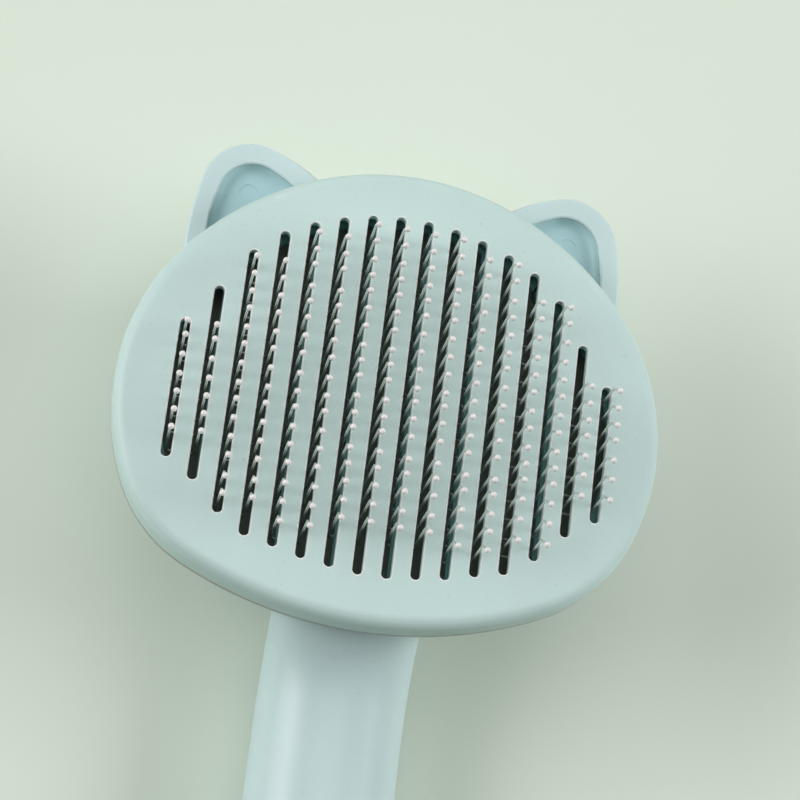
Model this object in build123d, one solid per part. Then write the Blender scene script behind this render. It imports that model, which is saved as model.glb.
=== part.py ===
"""A self-cleaning slicker brush with a cat-shaped head, lying on its back with its pins up.

X runs across the head, +Y from the handle to the ears and +Z out of the pin face.
The button and the underside of the handle rest on the plane z = 0.  Pressing the
button pushes the slotted face plate forward over the pins, which frees the hair.
Everything is modelled in head coordinates, with x = y = 0 at the middle of the slots,
and moved along Y at the end so that the origin lies under the middle of the brush.
"""
import math
import os
import random

from build123d import *

# ---------------------------------------------------------------- driving dimensions, mm
# Head outline: tangent arcs from the top, round the right side, as (radius, turn in degrees)
HEAD_TOP = 45.25
HEAD_ARCS = [(52.0, 26.0), (60.4, 22.6), (45.0, 67.6), (28.4, 38.6)]

# Heights above the surface that the brush lies on
FACE_Z = 52.0            # front of the face plate
SKIRT_Z = 44.5           # lower edge of the face plate's skirt
RIM_Z = 44.2             # rim of the rear shell
LIP_TOP_Z = 47.5         # top of the lip that stands inside the skirt
BOARD_TOP_Z = 44.4       # front of the dark pin board
BOARD_BACK_Z = 40.6
RETAINER_TOP_Z = 46.0    # front of the frame that holds the staples down
BACK_Z = 13.5            # flat back of the head
TRAVEL = 12.3            # stroke of the button and face plate, up to the back of the board

# Walls and gaps
PLATE_THICK = 2.0
PLATE_PILOT_R = 1.05     # screw holes in the plate's bosses
SKIRT_WALL = 1.8
SHELL_WALL = 1.8
LIP_WALL = 1.2
BACK_WALL = 2.2
SLIDE_GAP = 0.3          # between the moving pieces and the housing
EDGE_ROUND = 2.5         # front edge of the face plate

# How far the outlines inside the head are drawn in from the head's own
LIP_INSET = SKIRT_WALL + SLIDE_GAP
BOARD_INSET = LIP_INSET + LIP_WALL + SLIDE_GAP
WINDOW_INSET = 9.2       # opening of the frame that holds the staples down

# Rear shell: its sides draw in towards a flat back with a large round edge
BOWL_DRAFT = 11.0
BOWL_ROUND = 12.0
RIM_BAND = 1.4           # upright band round the rim
LIP_ROOT = 4.2           # depth of the thick band below the rim that carries the lip
LIP_ROOT_INSET = 1.5

# Slots: pitch, width and the two ends of each slot on one half, from the outermost inwards
SLOT_PITCH = 5.5
SLOT_WIDTH = 1.95
SLOT_TOPS = [8.25, 15.8, 24.15, 28.95, 31.8, 33.8, 35.15, 35.8]
SLOT_BOTTOMS = [-19.05, -22.65, -28.15, -31.7, -32.95, -34.35, -35.15, -35.8]
SLOT_EDGE = 0.2

# Pins: each staple has two bent legs and straddles one pair of slots
WIRE_R = 0.23
BALL_R = 0.6
BALL_HEIGHT = 11.4       # ball centre in front of the face plate
KNEE_HEIGHT = 5.9        # bend of the leg in front of the face plate
LEG_LEAN = 5.5           # lower leg leans towards the ears, degrees
TIP_LEAN = 19.5          # upper leg leans towards the handle, degrees
CROWN_BEND = 0.8         # radius of the wire at the crown's ends
KNEE_BEND = 0.5
STAPLE_ROWS = [(7, 4.8, -16.7), (14, 19.0, -27.0), (17, 25.9, -30.3), (18, 29.1, -28.3)]
PIN_SCATTER = 0.3        # staples are not set quite evenly along their row
LEAN_SCATTER = 1.0       # degrees

# Bars of the staple frame: their places across the head, mirrored
BAR_PLACES = [5.5, 16.5, 33.0]
BAR_WIDTH = 3.6

# Ears: tangent arcs from the outer side over the tip, as (radius, turn in degrees)
EAR_START = (43.6, 27.0)
EAR_ARCS = [(63.5, 13.0), (10.0, 93.5), (35.0, 34.0)]
EAR_FRONT_Z = 43.9
EAR_THICK = 7.4
EAR_BACK_ROUND = 3.0
EAR_FRONT_ROUND = 0.5
DISH_START = (39.8, 27.0)
DISH_ARCS = [(56.0, 13.0), (6.8, 99.0), (27.0, 30.0)]
DISH_DEPTH = 2.4
DISH_ROUND = 1.7
EAR_MARK = (32.6, 39.3)
EAR_MARK_R = 1.85
EAR_MARK_DEPTH = 0.12

# Button and the push frame that joins it to the face plate
BUTTON_R = 15.0
BUTTON_WALL = 2.0
BUTTON_FLOOR = 2.6
BUTTON_ROUND = 2.5
BUTTON_DISH_R = 60.0
BUTTON_DISH_DEPTH = 1.0
BUTTON_FLANGE_R = 18.2
BUTTON_BOSS_R = 2.8
BUTTON_SCREW_RADIUS = 9.5
COLLAR_BORE = 15.35
COLLAR_WALL = 1.7
COLLAR_TOP_Z = 22.7
FRAME_THICK = 2.5
FRAME_Z = BOARD_BACK_Z - SLIDE_GAP - TRAVEL - FRAME_THICK    # back of the push frame
FRAME_HOLE_R = 6.0
POST_R = 2.3
POST_HOLE_R = 2.65
POST_TOP_Z = 46.5
POSTS = [(28.5, 27.0), (35.9, -26.0)]
PILOT_R = 1.15           # holes for the small screws

# Return springs
SPRING_PLACES = [(24.0, 13.0), (-24.0, 13.0), (-24.0, -13.0), (24.0, -13.0)]
SPRING_R = 3.4
SPRING_WIRE_R = 0.4
SPRING_TURNS = 9
CUP_R = 5.2
CUP_BORE = 4.2
CUP_SEAT_Z = 19.0
CUP_FLOOR = 1.4

# Board screws go through the retainer and board into six bosses in the rear shell
BOARD_SCREWS = [(16.0, 36.0), (46.0, -3.0), (20.0, -36.3)]
BOSS_R = 3.0
SCREW_CLEAR_R = 1.6
SCREW_PILOT_R = 1.35
SCREW_PILOT_DEPTH = 9.0

# Handle: half width, half height and its centre line, as (y, z)
HANDLE_HALF_W = 15.0
HANDLE_HALF_H = 12.5
HANDLE_LINE = [(-28.0, 27.6), (-37.0, 22.4), (-45.0, 17.0), (-53.0, 13.7), (-64.0, 12.65), (-82.0, 12.55)]
HANDLE_START_SLOPE = 0.55
HANDLE_WALL = 2.2
HANDLE_STATIONS = [-96.0, -110.0, -120.0, -128.0]     # the last is where the end starts to round off
HANDLE_END_STEPS = [0.2, 0.4, 0.6, 0.76, 0.88, 0.96, 0.992]
HANDLE_END_Y = -147.0
HANDLE_SCREWS_Y = [-66.0, -96.0, -122.0]
HANDLE_SCREW_SEAT_Z = 5.0
SCREW_WELL_R = 2.9
WELL_PILLAR_R = 4.2
COVER_PILLAR_R = 3.4
HANG_Y = -136.5
HANG_R = 4.5
HANG_WALL = 1.8


# ---------------------------------------------------------------- outlines
def arc_chain(start, heading, arcs, side, inset):
    """Tangent arcs from start, as three points each; side is +1 for left turns, -1 for right."""
    x, y = start
    angle = math.radians(heading)
    chain = []
    for radius, turn in arcs:
        swing = side * math.radians(turn)
        cx = x - side * radius * math.sin(angle)
        cy = y + side * radius * math.cos(angle)
        reach = side * (radius - inset)
        points = []
        for part in (0.0, 0.5, 1.0):
            a = angle + swing * part
            points.append((cx + reach * math.sin(a), cy - reach * math.cos(a)))
        chain.append(points)
        angle += swing
        x = cx + side * radius * math.sin(angle)
        y = cy - side * radius * math.cos(angle)
    return chain, (x, y), math.degrees(angle)


def head_face(inset, z):
    """Flat face with the head's outline, drawn in by inset, at height z."""
    half, end, heading = arc_chain((0.0, HEAD_TOP), 0.0, HEAD_ARCS, -1, inset)
    # The lowest arc is centred on the middle line, so that the outline closes smoothly
    radius = -end[0] / math.sin(math.radians(heading))
    half += arc_chain(end, heading, [(radius, 180.0 + heading)], -1, inset)[0]
    edges = [ThreePointArc(a, b, c) for a, b, c in half]
    for a, b, c in reversed(half):
        edges.append(ThreePointArc((-c[0], c[1]), (-b[0], b[1]), (-a[0], a[1])))
    return Pos(0, 0, z) * make_face(edges)


def head_slab(inset, low, high):
    """Straight-sided slab with the head's outline."""
    return extrude(head_face(inset, low), amount=high - low)


def bowl(wall, back_z):
    """Solid with the shape of the rear shell's outside, or of its hollow when wall is given."""
    depth = RIM_Z - back_z
    draft = depth * math.tan(math.radians(BOWL_DRAFT))
    solid = loft([head_face(wall, RIM_Z), head_face(wall + draft, back_z)], ruled=True)
    return fillet(solid.edges().group_by(Axis.Z)[0], BOWL_ROUND - wall)


def ear_face(start, arcs, z, side):
    """Outline of one ear or its dish, running on inside the head; side is +1 for the ear at +X."""
    chain = arc_chain(start, 90.0, arcs, 1, 0.0)[0]
    root = (start[0], start[1] - 8.0)
    inner = (start[0] - 20.0, start[1] - 4.0)
    first = chain[0][0]
    last = chain[-1][2]
    edges = [ThreePointArc(*[(side * px, py) for px, py in points]) for points in chain]
    for a, b in ((last, inner), (inner, root), (root, first)):
        edges.append(Line((side * a[0], a[1]), (side * b[0], b[1])))
    return Pos(0, 0, z) * make_face(edges)


def mirrored(places):
    """The same places on both sides of the middle line."""
    return places + [(-x, y) for x, y in places]


def rod(x, y, low, high, radius):
    """Upright cylinder between two heights."""
    return Pos(x, y, (low + high) / 2) * Cylinder(radius, high - low)


def joined(first, others):
    """One solid from several that meet."""
    for other in others:
        first = first + other
    return first


def without(solid, cutters):
    """The solid with each cutter taken away."""
    for cutter in cutters:
        solid = solid - cutter
    return solid


# ---------------------------------------------------------------- fasteners
def cross_recess(top, size, depth):
    """Cross for a screwdriver, sunk from height top."""
    bar = Box(size, size / 4, depth)
    return Pos(0, 0, top - depth / 2) * (bar + Rot(0, 0, 90) * bar)


def pan_screw(length, shank_r, head_r):
    """Pan-head screw with its head's underside at z = 0 and its shank along -Z."""
    head_h = head_r * 0.65
    head = Pos(0, 0, head_h / 2) * Cylinder(head_r, head_h)
    head = fillet(head.edges().group_by(Axis.Z)[-1], head_h * 0.45)
    shank = Pos(0, 0, -length / 2) * Cylinder(shank_r, length)
    shank = chamfer(shank.edges().group_by(Axis.Z)[0], shank_r * 0.5)
    return head + shank - cross_recess(head_h, head_r * 1.2, head_h * 0.6)


def countersunk_screw(length, shank_r, head_r):
    """Countersunk screw with the top of its head at z = 0 and its shank along -Z."""
    sink = head_r - shank_r
    head = Pos(0, 0, -sink / 2) * Cone(shank_r, head_r, sink)
    shank = Pos(0, 0, -length / 2) * Cylinder(shank_r, length)
    shank = chamfer(shank.edges().group_by(Axis.Z)[0], shank_r * 0.5)
    return head + shank - cross_recess(0.0, head_r * 1.1, sink * 0.7)


# ---------------------------------------------------------------- face plate
def slot_places():
    """Middle and overall length of every slot, from left to right."""
    half = list(zip(SLOT_TOPS, SLOT_BOTTOMS))
    slots = []
    for index, (top, bottom) in enumerate(half + half[::-1]):
        slots.append(((index - 7.5) * SLOT_PITCH, (top + bottom) / 2, top - bottom))
    return slots


def slot_cutter(x, y, length):
    """Slot through the face plate, with its front edge broken."""
    outline = Pos(x, y, FACE_Z) * Rot(0, 0, 90) * SlotOverall(length, SLOT_WIDTH)
    through = extrude(outline, amount=-2 * PLATE_THICK)
    wide = Pos(x, y, FACE_Z) * Rot(0, 0, 90)
    wide = wide * SlotOverall(length + 2 * SLOT_EDGE, SLOT_WIDTH + 2 * SLOT_EDGE)
    flare = extrude(wide, amount=-SLOT_EDGE, taper=45)
    return through + flare


def face_plate():
    """Slotted plate with a skirt and four bosses on its back."""
    plate = head_slab(0.0, SKIRT_Z, FACE_Z)
    plate = fillet(plate.edges().group_by(Axis.Z)[-1], EDGE_ROUND)
    hollow = head_slab(SKIRT_WALL, SKIRT_Z, FACE_Z - PLATE_THICK)
    hollow = fillet(hollow.edges().group_by(Axis.Z)[-1], EDGE_ROUND - SKIRT_WALL)
    plate = plate - hollow
    bosses = [rod(x, y, POST_TOP_Z, FACE_Z - PLATE_THICK / 2, POST_R) for x, y in mirrored(POSTS)]
    plate = joined(plate, bosses)
    pilots = [rod(x, y, POST_TOP_Z, FACE_Z - PLATE_THICK / 2, PLATE_PILOT_R) for x, y in mirrored(POSTS)]
    plate = without(plate, pilots)
    return without(plate, [slot_cutter(*place) for place in slot_places()])


# ---------------------------------------------------------------- pins
def leg_shift(height, lean):
    """Sideways run of a leg over a height."""
    return height * math.tan(math.radians(lean))


KNEE_Z = FACE_Z + KNEE_HEIGHT - BOARD_TOP_Z
BALL_Z = FACE_Z + BALL_HEIGHT - BOARD_TOP_Z
KNEE_Y = leg_shift(KNEE_Z, LEG_LEAN)
BALL_Y = KNEE_Y - leg_shift(BALL_Z - KNEE_Z, TIP_LEAN)


def staple():
    """One wire bent into two legs joined by a crown; the middle of its crown is at the origin."""
    half = SLOT_PITCH / 2
    side = [(0.0, 0.0), (KNEE_Y, KNEE_Z), (BALL_Y, BALL_Z)]
    points = [(-half, y, z) for y, z in reversed(side)] + [(half, y, z) for y, z in side]
    path = FilletPolyline(*points, radius=[KNEE_BEND, CROWN_BEND, CROWN_BEND, KNEE_BEND])
    section = Plane(origin=path @ 0, z_dir=path % 0) * Circle(WIRE_R)
    return sweep(section, path=path)


def ball_pair(wire):
    """The two ball tips of one staple, each moulded over the end of its leg."""
    half = SLOT_PITCH / 2
    balls = []
    for x in (-half, half):
        balls.append(Pos(x, BALL_Y, BALL_Z) * Sphere(BALL_R) - wire)
    return balls


def staple_places(row):
    """Where the staples of one slot pair stand; the rows are mirror images in number and reach."""
    count, first, last = STAPLE_ROWS[min(row, 7 - row)]
    scatter = random.Random(row + 1)
    x = (2 * row - 7) * SLOT_PITCH
    places = []
    for index in range(count):
        y = first + (last - first) * index / (count - 1) - BALL_Y
        y += scatter.uniform(-PIN_SCATTER, PIN_SCATTER)
        lean = scatter.uniform(-LEAN_SCATTER, LEAN_SCATTER)
        places.append(Pos(x, y, BOARD_TOP_Z) * Rot(lean, 0, 0))
    return places


# ---------------------------------------------------------------- pin board
def post_holes(low, high):
    """Clearance holes for the push frame's posts."""
    return [rod(x, y, low, high, POST_HOLE_R) for x, y in mirrored(POSTS)]


def board_screw_places():
    """The six screws of the board: two at each end and one at each side."""
    return mirrored(BOARD_SCREWS)


def pin_board():
    """Dark board that the staples stand on."""
    board = head_slab(BOARD_INSET, BOARD_BACK_Z, BOARD_TOP_Z)
    board = without(board, post_holes(BOARD_BACK_Z, BOARD_TOP_Z))
    screws = [rod(x, y, BOARD_BACK_Z, BOARD_TOP_Z, SCREW_CLEAR_R) for x, y in board_screw_places()]
    return without(board, screws)


def pin_retainer():
    """Frame with six bars that stiffen the board and hold the inner staples down."""
    frame = head_slab(BOARD_INSET, BOARD_TOP_Z, RETAINER_TOP_Z)
    window = head_slab(WINDOW_INSET, BOARD_TOP_Z, RETAINER_TOP_Z)
    middle = (BOARD_TOP_Z + RETAINER_TOP_Z) / 2
    bar = Box(BAR_WIDTH, 2 * HEAD_TOP, RETAINER_TOP_Z - BOARD_TOP_Z)
    bars = [Pos(side * x, 0, middle) * bar for x in BAR_PLACES for side in (1, -1)]
    frame = frame - without(window, bars)
    frame = without(frame, post_holes(BOARD_TOP_Z, RETAINER_TOP_Z))
    screws = [rod(x, y, BOARD_TOP_Z, RETAINER_TOP_Z, SCREW_CLEAR_R) for x, y in board_screw_places()]
    return without(frame, screws)


def board_screws():
    """Screws that hold the retainer and the board down on the rear shell."""
    screw = pan_screw(10.0, 1.3, 2.2)
    return [Pos(x, y, RETAINER_TOP_Z) * screw for x, y in board_screw_places()]


# ---------------------------------------------------------------- handle
def handle_section(y, z, half_w, half_h):
    """Oval section across the handle; its seam runs along the underside."""
    return Plane(origin=(0, y, z), x_dir=(0, 0, -1), z_dir=(0, -1, 0)) * Ellipse(half_h, half_w)


def handle_body(inset):
    """Solid handle, drawn in by inset, from inside the head to its rounded end."""
    half_w = HANDLE_HALF_W - inset
    half_h = HANDLE_HALF_H - inset
    line_z = HANDLE_LINE[-1][1]
    sections = [handle_section(y, z, half_w, half_h) for y, z in HANDLE_LINE]
    for y in HANDLE_STATIONS:
        sections.append(handle_section(y, line_z, half_w, half_h))
    for part in HANDLE_END_STEPS:
        y = HANDLE_STATIONS[-1] + (HANDLE_END_Y + inset - HANDLE_STATIONS[-1]) * part
        size = math.sqrt(1.0 - part ** 2.5)
        sections.append(handle_section(y, line_z, half_w * size, half_h * size))
    return loft(sections)


def above_parting():
    """Everything above the line along which the handle's two halves meet."""
    points = [(y, z) for y, z in HANDLE_LINE]
    line = Spline(*[(0, y, z) for y, z in points], tangents=[(0, -1, -HANDLE_START_SLOPE), (0, -1, 0)])
    start = line @ 0
    end = line @ 1
    top = 80.0
    far = HANDLE_END_Y - 10
    border = [
        line,
        Line(end, (0, far, end.Z)),
        Line((0, far, end.Z), (0, far, top)),
        Line((0, far, top), (0, 0, top)),
        Line((0, 0, top), (0, 0, start.Z)),
        Line((0, 0, start.Z), start),
    ]
    return extrude(make_face(border), amount=60, both=True)


def handle_hollow(pillar_r):
    """Hollow of the handle, left solid round the screws and the hanging hole."""
    top = HANDLE_LINE[-1][1] + HANDLE_HALF_H
    pillars = [rod(0, y, 0.0, top, pillar_r) for y in HANDLE_SCREWS_Y]
    pillars.append(rod(0, HANG_Y, 0.0, top, HANG_R + HANG_WALL))
    return without(handle_body(HANDLE_WALL), pillars)


def hang_cutter():
    """Through hole for hanging."""
    low = HANDLE_LINE[-1][1] - HANDLE_HALF_H
    high = HANDLE_LINE[-1][1] + HANDLE_HALF_H
    return rod(0, HANG_Y, low - 1, high + 1, HANG_R)


def handle_halves():
    """The solid handle in two, in front of the parting line and behind it."""
    body = handle_body(0.0)
    rear = body - above_parting()
    return body - rear, rear


def rear_shell():
    """Deep back of the head with its ears, and the back half of the handle, as one moulding."""
    outer = bowl(0.0, BACK_Z)
    shell = outer - bowl(SHELL_WALL, BACK_Z + BACK_WALL)
    shell = joined(shell, [ear(side) - outer for side in (1, -1)])

    shell = shell + (handle_halves()[1] - handle_hollow(WELL_PILLAR_R) - outer)

    lip = head_slab(LIP_INSET, RIM_Z - 1, LIP_TOP_Z)
    lip = lip + head_slab(LIP_ROOT_INSET, RIM_Z - LIP_ROOT, RIM_Z)
    lip = lip + head_slab(0.0, RIM_Z - RIM_BAND, RIM_Z)
    lip = lip - head_slab(LIP_INSET + LIP_WALL, RIM_Z - LIP_ROOT - 1, LIP_TOP_Z)
    bosses = [rod(x, y, BACK_Z + 1, BOARD_BACK_Z, BOSS_R) & outer for x, y in board_screw_places()]
    collar = rod(0, 0, BACK_Z, COLLAR_TOP_Z, COLLAR_BORE + COLLAR_WALL)
    shell = joined(shell, [lip, collar] + bosses)

    cutters = [rod(0, 0, BACK_Z - 1, COLLAR_TOP_Z, COLLAR_BORE), hang_cutter()]
    for x, y in board_screw_places():
        cutters.append(rod(x, y, BOARD_BACK_Z - SCREW_PILOT_DEPTH, BOARD_BACK_Z, SCREW_PILOT_R))
    for y in HANDLE_SCREWS_Y:
        cutters.append(rod(0, y, -1, HANDLE_SCREW_SEAT_Z, SCREW_WELL_R))
        cutters.append(rod(0, y, HANDLE_SCREW_SEAT_Z, HANDLE_LINE[-1][1] + 1, SCREW_CLEAR_R))
    return without(shell, cutters)


def arc_edges(solid, group):
    """The round edges in the lowest (0) or highest (-1) group along Z."""
    return [edge for edge in solid.edges().group_by(Axis.Z)[group] if edge.geom_type == GeomType.CIRCLE]


def ear(side):
    """One ear: a rounded lug with a dished front."""
    block = extrude(ear_face(EAR_START, EAR_ARCS, EAR_FRONT_Z - EAR_THICK, side), amount=EAR_THICK)
    block = fillet(arc_edges(block, 0), EAR_BACK_ROUND)
    floor_z = EAR_FRONT_Z - DISH_DEPTH
    dish = extrude(ear_face(DISH_START, DISH_ARCS, floor_z, side), amount=DISH_DEPTH + 1)
    dish = fillet(arc_edges(dish, 0), DISH_ROUND)
    block = block - dish
    block = fillet(arc_edges(block, -1), EAR_FRONT_ROUND)
    mark = rod(side * EAR_MARK[0], EAR_MARK[1], floor_z - EAR_MARK_DEPTH, floor_z + 1, EAR_MARK_R)
    return block - mark


def handle_cover():
    """Front half of the handle, closed on to the back of the head."""
    line_z = HANDLE_LINE[-1][1]
    cover = handle_halves()[0] - handle_hollow(COVER_PILLAR_R)
    pilots = [rod(0, y, line_z - 1, line_z + SCREW_PILOT_DEPTH, SCREW_PILOT_R) for y in HANDLE_SCREWS_Y]
    return without(cover - bowl(0.0, BACK_Z), pilots + [hang_cutter()])


def handle_screws():
    """Screws that join the two halves of the handle, from the back."""
    screw = pan_screw(13.0, 1.3, 2.6)
    return [Pos(0, y, HANDLE_SCREW_SEAT_Z) * Rot(180, 0, 0) * screw for y in HANDLE_SCREWS_Y]


# ---------------------------------------------------------------- button and push frame
def button():
    """Round thumb button: a deep cup with a dished end, a flange and three screw bosses."""
    top = FRAME_Z
    body = rod(0, 0, 0.0, top, BUTTON_R)
    body = fillet(body.edges().group_by(Axis.Z)[0], BUTTON_ROUND)
    body = body + rod(0, 0, COLLAR_TOP_Z + SLIDE_GAP, top, BUTTON_FLANGE_R)
    body = body - rod(0, 0, BUTTON_FLOOR, top, BUTTON_R - BUTTON_WALL)
    body = body - Pos(0, 0, BUTTON_DISH_DEPTH - BUTTON_DISH_R) * Sphere(BUTTON_DISH_R)
    bosses = []
    pilots = []
    for x, y in button_screw_places():
        bosses.append(rod(x, y, BUTTON_FLOOR - 0.6, top, BUTTON_BOSS_R))
        pilots.append(rod(x, y, top - SCREW_PILOT_DEPTH, top, PILOT_R))
    return without(joined(body, bosses), pilots)


def button_screw_places():
    """Three places round the button's axis."""
    places = []
    for index in range(3):
        angle = math.radians(90 + 120 * index)
        places.append((BUTTON_SCREW_RADIUS * math.cos(angle), BUTTON_SCREW_RADIUS * math.sin(angle)))
    return places


def button_screws():
    """Countersunk screws that hold the button on the push frame."""
    screw = countersunk_screw(8.0, 1.1, 2.1)
    return [Pos(x, y, FRAME_Z + FRAME_THICK) * screw for x, y in button_screw_places()]


def push_frame():
    """Spider with four posts that carry the face plate, and four cups for the springs."""
    top = FRAME_Z + FRAME_THICK
    disc = rod(0, 0, FRAME_Z, top, BUTTON_FLANGE_R)
    pieces = []
    for x, y in mirrored(POSTS):
        reach = math.hypot(x, y)
        turn = math.degrees(math.atan2(y, x))
        arm = Pos(reach / 2, 0, (FRAME_Z + top) / 2) * Box(reach, 2 * POST_R, FRAME_THICK)
        pieces.append(Rot(0, 0, turn) * arm)
        pieces.append(rod(x, y, FRAME_Z, POST_TOP_Z, POST_R))
    for x, y in SPRING_PLACES:
        pieces.append(rod(x, y, CUP_SEAT_Z - CUP_FLOOR, top, CUP_R))
    frame = joined(disc, pieces)
    cutters = [rod(x, y, CUP_SEAT_Z, top + 1, CUP_BORE) for x, y in SPRING_PLACES]
    cutters += [rod(x, y, FRAME_Z - 1, POST_TOP_Z + 1, PILOT_R) for x, y in mirrored(POSTS)]
    for x, y in button_screw_places():
        cutters.append(rod(x, y, FRAME_Z - 1, top + 1, PILOT_R))
        cutters.append(Pos(x, y, top - 0.5) * Cone(PILOT_R, PILOT_R + 1, 1.0))
    cutters.append(rod(0, 0, FRAME_Z - 1, top + 1, FRAME_HOLE_R))
    return without(frame, cutters)


def plate_screws():
    """Long screws up the posts into the face plate's bosses."""
    screw = pan_screw(POST_TOP_Z - FRAME_Z + 3.0, 1.0, 2.0)
    return [Pos(x, y, FRAME_Z) * Rot(180, 0, 0) * screw for x, y in mirrored(POSTS)]


def return_spring(x, y):
    """Compression spring between the cup and the back of the pin board."""
    low = CUP_SEAT_Z + SPRING_WIRE_R
    high = BOARD_BACK_Z - SPRING_WIRE_R
    path = Helix(pitch=(high - low) / SPRING_TURNS, height=high - low, radius=SPRING_R)
    section = Plane(origin=path @ 0, z_dir=path % 0) * Circle(SPRING_WIRE_R)
    return Pos(x, y, low) * sweep(section, path=path, is_frenet=True)


# ---------------------------------------------------------------- the nodes
def build():
    """Every node of the brush, by name, in head coordinates."""
    nodes = {
        "rear_shell": [rear_shell()],
        "handle_cover": [handle_cover()],
        "handle_screws": handle_screws(),
        "pin_board": [pin_board()],
        "pin_retainer": [pin_retainer()],
        "board_screws": board_screws(),
        "face_plate": [face_plate()],
        "push_frame": [push_frame()],
        "plate_screws": plate_screws(),
        "button": [button()],
        "button_screws": button_screws(),
    }
    for index, place in enumerate(SPRING_PLACES):
        nodes[f"return_spring_{index + 1}"] = [return_spring(*place)]
    wire = staple()
    balls = ball_pair(wire)
    for row in range(8):
        places = staple_places(row)
        nodes[f"staple_row_{row + 1}"] = [place * wire for place in places]
        nodes[f"ball_tip_row_{row + 1}"] = [place * ball for place in places for ball in balls]
    return nodes


def main():
    os.makedirs("parts", exist_ok=True)
    nodes = build()
    # The rear shell runs from the ear tips to the handle's end, so its middle is the brush's
    middle = nodes["rear_shell"][0].bounding_box().center().Y
    for name, solids in nodes.items():
        moved = [Pos(0, -middle, 0) * solid for solid in solids]
        shape = moved[0] if len(moved) == 1 else Compound(children=moved)
        export_step(shape, f"parts/{name}.step")


main()
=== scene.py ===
"""The looks of the cat-eared slicker brush: materials, springs, floor, light and camera.

Units are metres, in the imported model's own frame: the brush lies on its back on z = 0,
with its pins up, its ears towards +Y and its handle towards -Y.
"""
import math

import bmesh
import bpy
from mathutils import Matrix, Vector


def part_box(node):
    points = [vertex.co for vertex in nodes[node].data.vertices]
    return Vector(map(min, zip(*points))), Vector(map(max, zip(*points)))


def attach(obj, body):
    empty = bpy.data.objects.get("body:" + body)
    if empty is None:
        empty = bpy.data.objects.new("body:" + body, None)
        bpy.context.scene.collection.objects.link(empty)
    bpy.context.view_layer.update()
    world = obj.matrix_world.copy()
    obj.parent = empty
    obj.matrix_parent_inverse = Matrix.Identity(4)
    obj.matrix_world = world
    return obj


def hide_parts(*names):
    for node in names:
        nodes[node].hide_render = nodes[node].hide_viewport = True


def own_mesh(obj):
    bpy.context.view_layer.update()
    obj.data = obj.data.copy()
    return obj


MM = 0.001
ROWS = range(1, 9)

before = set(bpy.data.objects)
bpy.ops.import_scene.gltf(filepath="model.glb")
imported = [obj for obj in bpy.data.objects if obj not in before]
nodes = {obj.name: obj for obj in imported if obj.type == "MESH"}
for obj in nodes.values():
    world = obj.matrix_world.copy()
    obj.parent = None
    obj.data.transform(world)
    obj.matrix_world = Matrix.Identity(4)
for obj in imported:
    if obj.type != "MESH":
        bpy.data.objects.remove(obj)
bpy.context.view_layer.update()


# ---------------------------------------------------------------- places and sizes
def middle(node):
    """Centre of a node's box."""
    low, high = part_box(node)
    return (low + high) / 2


# the middle of the head, on the front of the face plate
HEAD = Vector((0.0, middle("button").y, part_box("face_plate")[1].z))
SLOT_EDGE = 0.2 * MM         # the broken edge round the slots
RIM_Z = 44.2 * MM            # rim of the rear shell
RIM_BAND = 1.4 * MM          # height of the upright band under that rim
EAR_FRONT_Z = 43.9 * MM      # front of the ears
DISH_FLOOR_Z = 41.5 * MM     # floor of the hollow in each ear
EARS_FROM = 27.0 * MM        # the ears start this far up the head from its middle

SPRINGS = range(1, 5)
SPRING_TURNS = 9
SPRING_WIRE_R = 0.4 * MM
WIRE_SIDES = 12              # sides of the spring wire's section
STEPS_PER_TURN = 32          # rings of the spring wire in one turn

# where the colour masks begin and end, and how soft their ends are
SHARP_DOT = 0.93             # rounded normal times true normal, right on an edge
FLAT_DOT = 0.997             # the same product on a flat face
SLOPE_LOW = 0.6              # on the broken edge the normal's Z lies between these two
SLOPE_HIGH = 0.82
SLOPE_SOFT = 0.02
UPRIGHT_TILT = 0.05          # largest Z of the normal on an upright wall
UPRIGHT_SOFT = 0.01
EDGE_SOFT = 0.02 * MM
BAND_SOFT = 0.05 * MM
EARS_SOFT = 1.0 * MM
DISH_SOFT = 0.9 * MM

# surface detail
NOISE_LOW = 0.3              # the noises are spread between these two levels
NOISE_HIGH = 0.7
FLOW_MM = 26.0               # moulding flow marks
SPECK_MM = 0.55
SPECK_FULL = 0.24            # noise below this is a speck
SPECK_NONE = 0.28            # and above this is none
SPECK_SHADE = 0.86
GRAIN_MM = 0.25
GRAIN_DEPTH_MM = 0.004
TIP_CLOUD_MM = 0.6
FLOOR_CLOUD_MM = 180.0

# colours
PLATE_AQUA = (0.515, 0.665, 0.64)
# painted highlight, laid on the broken edges round the slots
EDGE_PAINTED_HIGHLIGHT = (0.92, 0.96, 0.94)
SHELL_AQUA = (0.53, 0.665, 0.665)
# painted shade, laid in the hollows of the ears
DISH_PAINTED_SHADE = (0.42, 0.63, 0.66)
# painted shade, laid on the upright band under the shell's rim
RIM_BAND_PAINTED_SHADE = (0.30, 0.31, 0.28)
INNER_AQUA = (0.22, 0.50, 0.48)
BUTTON_WHITE = (0.74, 0.81, 0.81)
BOARD_DARK = (0.10, 0.125, 0.10)
PIN_STEEL = (0.93, 0.92, 0.89)
SCREW_STEEL = (0.60, 0.60, 0.62)
SPRING_STEEL = (0.55, 0.55, 0.57)
TIP_PEARL = (0.80, 0.765, 0.75)
FLOOR_PALE = (0.66, 0.74, 0.64)
BACKDROP_PALE = (0.60, 0.67, 0.60)
EVEN = (1.0, 1.0, 1.0)       # streaks of the same size every way

# light and camera
RIG_SCALE = 2.2              # how far off the lamps stand
SKY_LEVEL = 0.02
FLOOR_SIZE = 12.0
FLOOR_Z = -0.0002            # 0.2 mm under the brush
SENSOR_WIDTH_MM = 36.0
LENS_MM = 102.0
CLIP_START = 0.01
CAMERA_FROM_HEAD = Vector((-52.1, -123.2, 411.5)) * MM
TARGET_FROM_HEAD = Vector((1.24, -1.03, 0.0)) * MM
CAMERA_ROLL = math.radians(-7.11)


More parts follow.
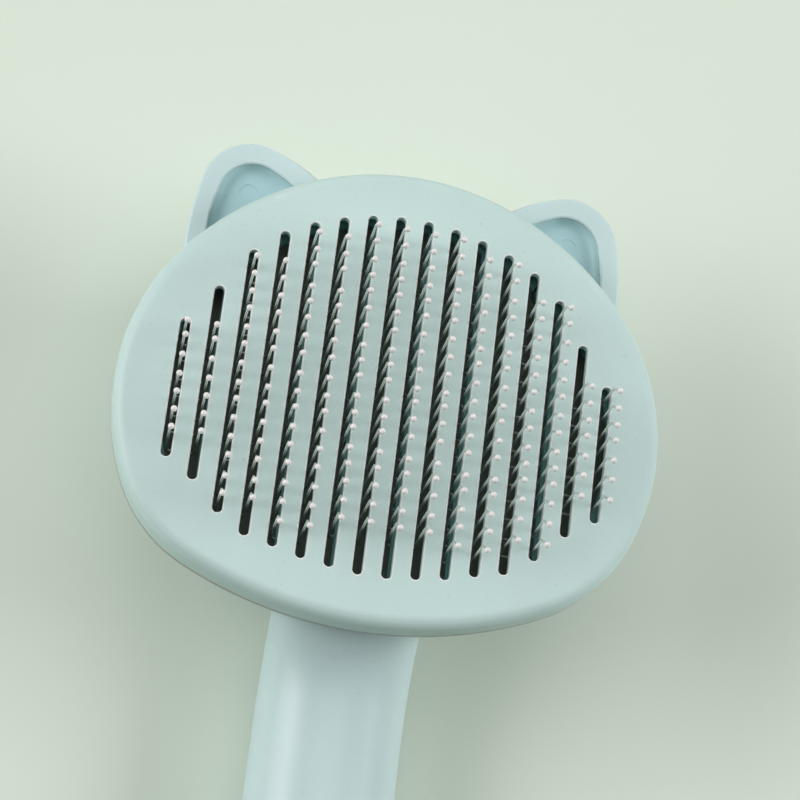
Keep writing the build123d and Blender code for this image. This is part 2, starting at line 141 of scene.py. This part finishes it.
# ---------------------------------------------------------------- material helpers
def new_material(name):
    """Empty material with its node tree, Principled shader and output."""
    material = bpy.data.materials.new(name)
    material.use_nodes = True
    tree = material.node_tree
    shader = tree.nodes["Principled BSDF"]
    return material, tree, shader


def add(tree, kind, **settings):
    """Node with some of its properties or sockets set."""
    node = tree.nodes.new(kind)
    for key, value in settings.items():
        if hasattr(node, key):
            setattr(node, key, value)
        else:
            node.inputs[key.replace("_", " ")].default_value = value
    return node


def object_noise(tree, feature_mm, detail, stretch=EVEN):
    """Noise over the object's own coordinates, with features of about the given size."""
    place = add(tree, "ShaderNodeTexCoord")
    scale = add(tree, "ShaderNodeMapping")
    scale.inputs["Scale"].default_value = stretch
    tree.links.new(place.outputs["Object"], scale.inputs["Vector"])
    noise = add(tree, "ShaderNodeTexNoise", Scale=1.0 / (feature_mm * MM), Detail=detail)
    tree.links.new(scale.outputs["Vector"], noise.inputs["Vector"])
    return noise.outputs["Fac"]


def ramp(tree, value, stops):
    """Colour or grey ramp over a 0 to 1 value; stops are (position, colour)."""
    node = add(tree, "ShaderNodeValToRGB")
    elements = node.color_ramp.elements
    while len(elements) < len(stops):
        elements.new(0.5)
    for element, (position, color) in zip(elements, stops):
        element.position = position
        element.color = (*color, 1.0)
    tree.links.new(value, node.inputs["Fac"])
    return node.outputs["Color"]


def spread(tree, noise, low, high):
    """Ramp from one colour to another over the levels that a noise reaches."""
    return ramp(tree, noise, [(NOISE_LOW, low), (NOISE_HIGH, high)])


def shade(color, factor):
    """The colour made lighter or darker."""
    return tuple(min(1.0, channel * factor) for channel in color)


def grey(level):
    """Grey of the given level."""
    return (level, level, level)


def bump(tree, height, depth_mm):
    """Bump whose full height is depth_mm."""
    node = add(tree, "ShaderNodeBump", Strength=1.0, Distance=depth_mm * MM)
    tree.links.new(height, node.inputs["Height"])
    return node.outputs["Normal"]


def mix(tree, amount, low, high):
    """Colour between two colours or sockets by a 0 to 1 value."""
    node = add(tree, "ShaderNodeMix", data_type="RGBA")
    tree.links.new(amount, node.inputs["Factor"])
    for socket, value in ((node.inputs[6], low), (node.inputs[7], high)):
        if isinstance(value, tuple):
            socket.default_value = (*value, 1.0)
        else:
            tree.links.new(value, socket)
    return node.outputs[2]


def between(tree, value, low, high, softness):
    """1 where a value lies between low and high, 0 outside, with soft ends."""
    rise = add(tree, "ShaderNodeMapRange")
    fall = add(tree, "ShaderNodeMapRange")
    for node, edge, inside in ((rise, low, 1.0), (fall, high, -1.0)):
        tree.links.new(value, node.inputs["Value"])
        node.inputs["From Min"].default_value = edge - inside * softness
        node.inputs["From Max"].default_value = edge + inside * softness
    both = add(tree, "ShaderNodeMath", operation="MULTIPLY")
    tree.links.new(rise.outputs["Result"], both.inputs[0])
    tree.links.new(fall.outputs["Result"], both.inputs[1])
    return both.outputs["Value"]


def product(tree, first, second):
    """Product of two values."""
    node = add(tree, "ShaderNodeMath", operation="MULTIPLY")
    tree.links.new(first, node.inputs[0])
    tree.links.new(second, node.inputs[1])
    return node.outputs["Value"]


def parts_of(tree, vector):
    """X, Y and Z of a vector."""
    node = add(tree, "ShaderNodeSeparateXYZ")
    tree.links.new(vector, node.inputs["Vector"])
    return node.outputs["X"], node.outputs["Y"], node.outputs["Z"]


def object_place(tree):
    """X, Y and Z of the shaded point in the object's own metres."""
    place = add(tree, "ShaderNodeTexCoord")
    return parts_of(tree, place.outputs["Object"])


def slot_edge_highlight_mask(tree):
    """1 on the broken edge round each slot of the face plate and just beside it, where the painted
    highlight goes.
    """
    face = add(tree, "ShaderNodeNewGeometry")
    rounded = add(tree, "ShaderNodeBevel", samples=6, Radius=SLOT_EDGE)
    across = add(tree, "ShaderNodeVectorMath", operation="DOT_PRODUCT")
    tree.links.new(rounded.outputs["Normal"], across.inputs[0])
    tree.links.new(face.outputs["True Normal"], across.inputs[1])
    stops = [(SHARP_DOT, grey(1.0)), (FLAT_DOT, grey(0.0))]
    sharp = ramp(tree, across.outputs["Value"], stops)
    tilt = parts_of(tree, face.outputs["True Normal"])[2]
    height = object_place(tree)[2]
    sloping = between(tree, tilt, SLOPE_LOW, SLOPE_HIGH, SLOPE_SOFT)
    front = between(tree, height, HEAD.z - 2 * SLOT_EDGE, HEAD.z + SLOT_EDGE, EDGE_SOFT)
    either = add(tree, "ShaderNodeMath", operation="MAXIMUM")
    tree.links.new(sharp, either.inputs[0])
    tree.links.new(sloping, either.inputs[1])
    return product(tree, either.outputs["Value"], front)


def ear_dish_shade_mask(tree):
    """1 on the floor of the hollow in each ear, fading out up its walls, where painted shade, a deeper
    aqua, goes.
    """
    place = object_place(tree)
    beyond = between(tree, place[1], HEAD.y + EARS_FROM, HEAD.y + 2 * EARS_FROM, EARS_SOFT)
    half_up = (DISH_FLOOR_Z + EAR_FRONT_Z) / 2
    low = between(tree, place[2], DISH_FLOOR_Z - MM, half_up, DISH_SOFT)
    return product(tree, beyond, low)


def rim_band_shade_mask(tree):
    """1 on the upright band that the plate's skirt stands on, where painted shade goes."""
    face = add(tree, "ShaderNodeNewGeometry")
    tilt = parts_of(tree, face.outputs["True Normal"])[2]
    height = object_place(tree)[2]
    upright = between(tree, tilt, -UPRIGHT_TILT, UPRIGHT_TILT, UPRIGHT_SOFT)
    band = between(tree, height, RIM_Z - RIM_BAND, RIM_Z, BAND_SOFT)
    return product(tree, upright, band)


def moulded_plastic(name, color, roughness, scatter=0.0):
    """Matt injection-moulded plastic: fine grain, small specks and faint flow marks."""
    material, tree, shader = new_material(name)
    flow = object_noise(tree, FLOW_MM, 2.0)
    tint = spread(tree, flow, shade(color, 0.975), shade(color, 1.02))
    stops = [(SPECK_FULL, grey(1.0)), (SPECK_NONE, grey(0.0))]
    specks = ramp(tree, object_noise(tree, SPECK_MM, 1.0), stops)
    tint = mix(tree, specks, tint, shade(color, SPECK_SHADE))
    tree.links.new(tint, shader.inputs["Base Color"])
    grain = object_noise(tree, GRAIN_MM, 2.0)
    gloss = spread(tree, grain, grey(roughness - 0.05), grey(roughness + 0.05))
    tree.links.new(gloss, shader.inputs["Roughness"])
    tree.links.new(bump(tree, grain, GRAIN_DEPTH_MM), shader.inputs["Normal"])
    shader.inputs["IOR"].default_value = 1.5
    if scatter > 0:
        shader.inputs["Subsurface Weight"].default_value = scatter
        shader.inputs["Subsurface Radius"].default_value = (0.8, 1.0, 1.0)
        shader.inputs["Subsurface Scale"].default_value = 2.5 * MM
    return material


def repaint(material, mask, color):
    """Lay another colour over a material where the mask is 1."""
    tree = material.node_tree
    base = tree.nodes["Principled BSDF"].inputs["Base Color"]
    under = base.links[0].from_socket
    tree.links.new(mix(tree, mask, under, color), base)


def plate_plastic():
    """The face plate's plastic, with a pale painted highlight on the edges round its slots, whose
    normals are also turned to face straight out.
    """
    material = moulded_plastic("plate_plastic", PLATE_AQUA, 0.46)
    tree = material.node_tree
    mask = slot_edge_highlight_mask(tree)
    repaint(material, mask, EDGE_PAINTED_HIGHLIGHT)
    bent = tree.nodes["Principled BSDF"].inputs["Normal"]
    facing = mix(tree, mask, bent.links[0].from_socket, (0.0, 0.0, 1.0))
    tree.links.new(facing, bent)
    return material


def shell_plastic():
    """The housing's plastic, with painted shade: a deeper aqua in the hollows of its thin ears and a
    dark grey on the upright band under its rim.
    """
    material = moulded_plastic("shell_plastic", SHELL_AQUA, 0.36, scatter=0.35)
    repaint(material, ear_dish_shade_mask(material.node_tree), DISH_PAINTED_SHADE)
    repaint(material, rim_band_shade_mask(material.node_tree), RIM_BAND_PAINTED_SHADE)
    return material


def steel(name, color, roughness, streak_mm=0.05, stretch=(1.0, 1.0, 0.06)):
    """Drawn or plated steel with fine streaks along it."""
    material, tree, shader = new_material(name)
    streak = object_noise(tree, streak_mm, 2.0, stretch)
    tint = spread(tree, streak, shade(color, 0.86), shade(color, 1.1))
    tree.links.new(tint, shader.inputs["Base Color"])
    gloss = spread(tree, streak, grey(roughness - 0.07), grey(roughness + 0.08))
    tree.links.new(gloss, shader.inputs["Roughness"])
    shader.inputs["Metallic"].default_value = 1.0
    return material


def tip_resin(name, color):
    """Pearly dipped resin, a little translucent and glossy."""
    material, tree, shader = new_material(name)
    cloud = object_noise(tree, TIP_CLOUD_MM, 3.0)
    tint = spread(tree, cloud, shade(color, 0.93), shade(color, 1.04))
    tree.links.new(tint, shader.inputs["Base Color"])
    gloss = spread(tree, cloud, grey(0.16), grey(0.28))
    tree.links.new(gloss, shader.inputs["Roughness"])
    shader.inputs["Coat Weight"].default_value = 0.4
    shader.inputs["Coat Roughness"].default_value = 0.12
    return material


def floor_paint(name, color):
    """Plain pale studio floor."""
    material, tree, shader = new_material(name)
    cloud = object_noise(tree, FLOOR_CLOUD_MM, 2.0)
    tint = spread(tree, cloud, shade(color, 0.985), shade(color, 1.015))
    tree.links.new(tint, shader.inputs["Base Color"])
    shader.inputs["Roughness"].default_value = 0.85
    return material


# ---------------------------------------------------------------- materials of the nodes
def dress(material, names):
    """Give the named CAD nodes a material in all their slots."""
    for name in names:
        slots = nodes[name].material_slots
        for slot in slots:
            slot.material = material


def dress_all():
    """Give every CAD node that is seen its material."""
    dress(plate_plastic(), ["face_plate"])
    dress(shell_plastic(), ["rear_shell", "handle_cover"])
    dress(moulded_plastic("inner_plastic", INNER_AQUA, 0.5), ["pin_retainer", "push_frame"])
    dress(moulded_plastic("button_plastic", BUTTON_WHITE, 0.34), ["button"])
    dress(moulded_plastic("board_plastic", BOARD_DARK, 0.55), ["pin_board"])
    dress(steel("pin_steel", PIN_STEEL, 0.40), [f"staple_row_{row}" for row in ROWS])
    dress(tip_resin("tip_resin", TIP_PEARL), [f"ball_tip_row_{row}" for row in ROWS])
    screws = ["handle_screws", "board_screws", "plate_screws", "button_screws"]
    dress(steel("screw_steel", SCREW_STEEL, 0.33, 0.2, EVEN), screws)


dress_all()


# ---------------------------------------------------------------- coil springs in place of the CAD ones
def coil_mesh(name, low, high):
    """Mesh of a round-wire coil spring that fills the box between two corners."""
    centre = (low + high) / 2
    radius = (high.x - low.x) / 2 - SPRING_WIRE_R
    start = low.z + SPRING_WIRE_R
    rise = high.z - low.z - 2 * SPRING_WIRE_R
    slope = rise / (SPRING_TURNS * math.tau * radius)
    steps = SPRING_TURNS * STEPS_PER_TURN
    work = bmesh.new()
    rings = []
    for step in range(steps + 1):
        share = step / steps
        angle = math.tau * SPRING_TURNS * share
        outward = Vector((math.cos(angle), math.sin(angle), 0.0))
        along = Vector((-outward.y, outward.x, slope)).normalized()
        upward = outward.cross(along)
        place = Vector((centre.x, centre.y, start + rise * share)) + outward * radius
        ring = []
        for side in range(WIRE_SIDES):
            around = math.tau * side / WIRE_SIDES
            offset = outward * math.cos(around) + upward * math.sin(around)
            ring.append(work.verts.new(place + offset * SPRING_WIRE_R))
        rings.append(ring)
    for first, second in zip(rings, rings[1:]):
        for side in range(WIRE_SIDES):
            after = (side + 1) % WIRE_SIDES
            work.faces.new((first[side], first[after], second[after], second[side]))
    work.faces.new(rings[0])
    work.faces.new(rings[-1])
    bmesh.ops.recalc_face_normals(work, faces=work.faces)
    mesh = bpy.data.meshes.new(name)
    work.to_mesh(mesh)
    work.free()
    for face in mesh.polygons:
        face.use_smooth = len(face.vertices) == 4
    return mesh


def make_springs():
    """Coil springs that stand for the rigid CAD ones, which are hidden, and are fixed to the housing.
    """
    finish = steel("spring_steel", SPRING_STEEL, 0.3, 0.1, EVEN)
    for index in SPRINGS:
        node = f"return_spring_{index}"
        low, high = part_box(node)
        name = f"spring_coil_{index}"
        piece = bpy.data.objects.new(name, coil_mesh(name, low, high))
        bpy.context.scene.collection.objects.link(piece)
        piece.data.materials.append(finish)
        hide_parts(node)
        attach(piece, "housing")
        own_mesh(piece)


make_springs()


# ---------------------------------------------------------------- floor, light and camera
def make_floor():
    """Large plain floor under the brush."""
    bpy.ops.mesh.primitive_plane_add(size=FLOOR_SIZE, location=(0, 0, FLOOR_Z))
    floor = bpy.context.object
    floor.name = "studio_floor"
    floor.data.materials.append(floor_paint("floor_paint", FLOOR_PALE))


def aim(thing, place, target, roll=0.0):
    """Stand a lamp or camera at place, looking at target, with +Y up and then rolled."""
    forward = (target - place).normalized()
    upright = Vector((0, 1, 0)) - forward * forward.y
    upright.normalize()
    upright = Matrix.Rotation(roll, 3, forward) @ upright
    side = forward.cross(upright)
    turn = Matrix((side, upright, -forward)).transposed()
    thing.matrix_world = Matrix.Translation(place) @ turn.to_4x4()


def make_lamp(name, direction, size, power, glossy=True):
    """Soft box, (width, length) in size, that shines on the head; the rig grows with RIG_SCALE."""
    data = bpy.data.lights.new(name, "AREA")
    data.shape = "RECTANGLE"
    data.size = size[0] * RIG_SCALE
    data.size_y = size[1] * RIG_SCALE
    data.energy = power * RIG_SCALE ** 2
    lamp = bpy.data.objects.new(name, data)
    lamp.visible_glossy = glossy
    bpy.context.scene.collection.objects.link(lamp)
    aim(lamp, HEAD + Vector(direction) * RIG_SCALE, HEAD)


def make_sky(level, backdrop):
    """Dim even surroundings, behind which a plain pale backdrop is seen."""
    world = bpy.data.worlds.new("studio")
    world.use_nodes = True
    tree = world.node_tree
    dim = tree.nodes["Background"]
    dim.inputs["Color"].default_value = (1.0, 1.0, 1.0, 1.0)
    dim.inputs["Strength"].default_value = level
    pale = add(tree, "ShaderNodeBackground", Strength=1.0)
    pale.inputs["Color"].default_value = (*backdrop, 1.0)
    rays = add(tree, "ShaderNodeLightPath")
    both = add(tree, "ShaderNodeMixShader")
    tree.links.new(rays.outputs["Is Camera Ray"], both.inputs[0])
    tree.links.new(dim.outputs["Background"], both.inputs[1])
    tree.links.new(pale.outputs["Background"], both.inputs[2])
    tree.links.new(both.outputs["Shader"], tree.nodes["World Output"].inputs["Surface"])
    bpy.context.scene.world = world


def make_camera():
    """Camera in front of the pin face, from the handle side and the left, rolled with the brush."""
    data = bpy.data.cameras.new("camera")
    data.sensor_width = SENSOR_WIDTH_MM
    data.lens = LENS_MM
    data.clip_start = CLIP_START
    camera = bpy.data.objects.new("camera", data)
    bpy.context.scene.collection.objects.link(camera)
    aim(camera, HEAD + CAMERA_FROM_HEAD, HEAD + TARGET_FROM_HEAD, CAMERA_ROLL)
    bpy.context.scene.camera = camera


make_floor()
bpy.context.scene.view_settings.view_transform = "Standard"
make_lamp("key_upper_left", (-0.77, 0.22, 0.62), (0.40, 1.0), 4.6)
make_lamp("key_low_left", (-0.90, -0.05, 0.45), (0.6, 0.6), 4.2)
make_lamp("back", (0.0, 0.9, 0.55), (0.6, 0.6), 1.6)
make_lamp("right_matt", (0.90, 0.10, 0.45), (0.5, 0.5), 6.3, glossy=False)
make_lamp("right_faint", (0.80, 0.05, 0.55), (0.3, 0.6), 1.2)
make_lamp("overhead", (0.0, 0.1, 1.05), (0.8, 0.8), 2.7)
make_sky(SKY_LEVEL, BACKDROP_PALE)
make_camera()
